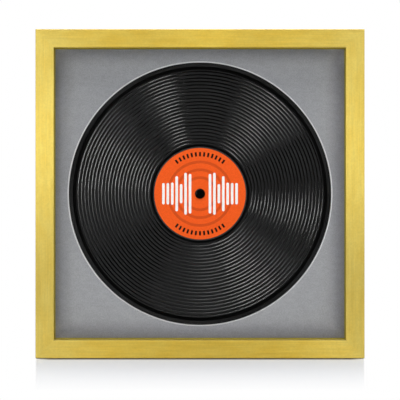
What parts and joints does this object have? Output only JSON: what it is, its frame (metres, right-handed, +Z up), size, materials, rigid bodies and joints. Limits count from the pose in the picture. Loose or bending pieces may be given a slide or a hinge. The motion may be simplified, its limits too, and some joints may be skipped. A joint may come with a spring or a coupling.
{
  "type": "vinyl record frame",
  "caption": "Square gold shadow-box frame that shows a 12 inch record in a round window of a grey mount, with a clear front, turn buttons and D-ring hangers behind.",
  "frame": {"origin": "middle of the bottom rail's underside, at half the rail's depth", "axes": "+Z up, the front faces -Y, +X to the right as seen from the front"},
  "size_m": [0.375, 0.0303, 0.375],
  "materials": {
    "gold_rail": "satin gold foil with a fine grain over wood, bare wood on the back",
    "gold_fillet": "satin gold foil over wood",
    "nail_steel": "plain steel",
    "clear_sheet": "clear acrylic sheet",
    "grey_mount": "matt grey with a faint canvas texture and a white core",
    "card": "matt",
    "vinyl": "grooved gloss black",
    "label_paper": "smooth printed paper",
    "black_stud": "satin black",
    "fibreboard": "bare brown fibreboard",
    "zinc": "zinc plated",
    "screw_steel": "zinc plated",
    "brass_plate": "brass plated",
    "bumper_rubber": "soft matt"
  },
  "bodies": {
    "frame": {"rail_bottom": "gold_rail", "rail_left": "gold_rail", "rail_top": "gold_rail", "rail_right": "gold_rail", "v_nail_bottom_left_1": "nail_steel", "v_nail_bottom_left_2": "nail_steel", "v_nail_top_left_1": "nail_steel", "v_nail_top_left_2": "nail_steel", "v_nail_top_right_1": "nail_steel", "v_nail_top_right_2": "nail_steel", "v_nail_bottom_right_1": "nail_steel", "v_nail_bottom_right_2": "nail_steel", "glazing_sheet": "clear_sheet", "fillet_bottom": "gold_fillet", "fillet_left": "gold_fillet", "fillet_top": "gold_fillet", "fillet_right": "gold_fillet", "mount_board": "grey_mount", "record_card": "card", "record_disc": "vinyl", "label_front": "label_paper", "label_back": "label_paper", "record_stud": "black_stud", "stud_screw": "black_stud", "backing_board": "fibreboard", "turn_button_screw_bottom_1": "screw_steel", "turn_button_screw_bottom_2": "screw_steel", "turn_button_screw_left_1": "screw_steel", "turn_button_screw_left_2": "screw_steel", "turn_button_screw_top_1": "screw_steel", "turn_button_screw_top_2": "screw_steel", "turn_button_screw_right_1": "screw_steel", "turn_button_screw_right_2": "screw_steel", "hanger_strap_left": "brass_plate", "hanger_screw_left": "screw_steel", "wall_bumper_left": "bumper_rubber", "hanger_strap_right": "brass_plate", "hanger_screw_right": "screw_steel", "wall_bumper_right": "bumper_rubber"},
    "turn_button_bottom_1": {"turn_button_bottom_1": "zinc"},
    "turn_button_bottom_2": {"turn_button_bottom_2": "zinc"},
    "turn_button_left_1": {"turn_button_left_1": "zinc"},
    "turn_button_left_2": {"turn_button_left_2": "zinc"},
    "turn_button_top_1": {"turn_button_top_1": "zinc"},
    "turn_button_top_2": {"turn_button_top_2": "zinc"},
    "turn_button_right_1": {"turn_button_right_1": "zinc"},
    "turn_button_right_2": {"turn_button_right_2": "zinc"},
    "hanger_ring_left": {"hanger_ring_left": "brass_plate"},
    "hanger_ring_right": {"hanger_ring_right": "brass_plate"}
  },
  "joints": [
    {"name": "turn_button_bottom_1_swing", "type": "hinge", "parent": "frame", "child": "turn_button_bottom_1", "pos_m": [-0.1, 0.0134, 0.00625], "axis": [0, 1, 0], "range_deg": [-90, 90]},
    {"name": "turn_button_bottom_2_swing", "type": "hinge", "parent": "frame", "child": "turn_button_bottom_2", "pos_m": [0.1, 0.0134, 0.00625], "axis": [0, 1, 0], "range_deg": [-90, 90]},
    {"name": "turn_button_left_1_swing", "type": "hinge", "parent": "frame", "child": "turn_button_left_1", "pos_m": [-0.18125, 0.0134, 0.2875], "axis": [0, 1, 0], "range_deg": [-90, 90]},
    {"name": "turn_button_left_2_swing", "type": "hinge", "parent": "frame", "child": "turn_button_left_2", "pos_m": [-0.18125, 0.0134, 0.0875], "axis": [0, 1, 0], "range_deg": [-90, 90]},
    {"name": "turn_button_top_1_swing", "type": "hinge", "parent": "frame", "child": "turn_button_top_1", "pos_m": [0.1, 0.0134, 0.36875], "axis": [0, 1, 0], "range_deg": [-90, 90]},
    {"name": "turn_button_top_2_swing", "type": "hinge", "parent": "frame", "child": "turn_button_top_2", "pos_m": [-0.1, 0.0134, 0.36875], "axis": [0, 1, 0], "range_deg": [-90, 90]},
    {"name": "turn_button_right_1_swing", "type": "hinge", "parent": "frame", "child": "turn_button_right_1", "pos_m": [0.18125, 0.0134, 0.0875], "axis": [0, 1, 0], "range_deg": [-90, 90]},
    {"name": "turn_button_right_2_swing", "type": "hinge", "parent": "frame", "child": "turn_button_right_2", "pos_m": [0.18125, 0.0134, 0.2875], "axis": [0, 1, 0], "range_deg": [-90, 90]},
    {"name": "hanger_ring_left_swing", "type": "hinge", "parent": "frame", "child": "hanger_ring_left", "pos_m": [-0.18125, 0.0148, 0.2495], "axis": [1, 0, 0], "range_deg": [0, 180]},
    {"name": "hanger_ring_right_swing", "type": "hinge", "parent": "frame", "child": "hanger_ring_right", "pos_m": [0.18125, 0.0148, 0.2495], "axis": [1, 0, 0], "range_deg": [0, 180]}
  ]
}
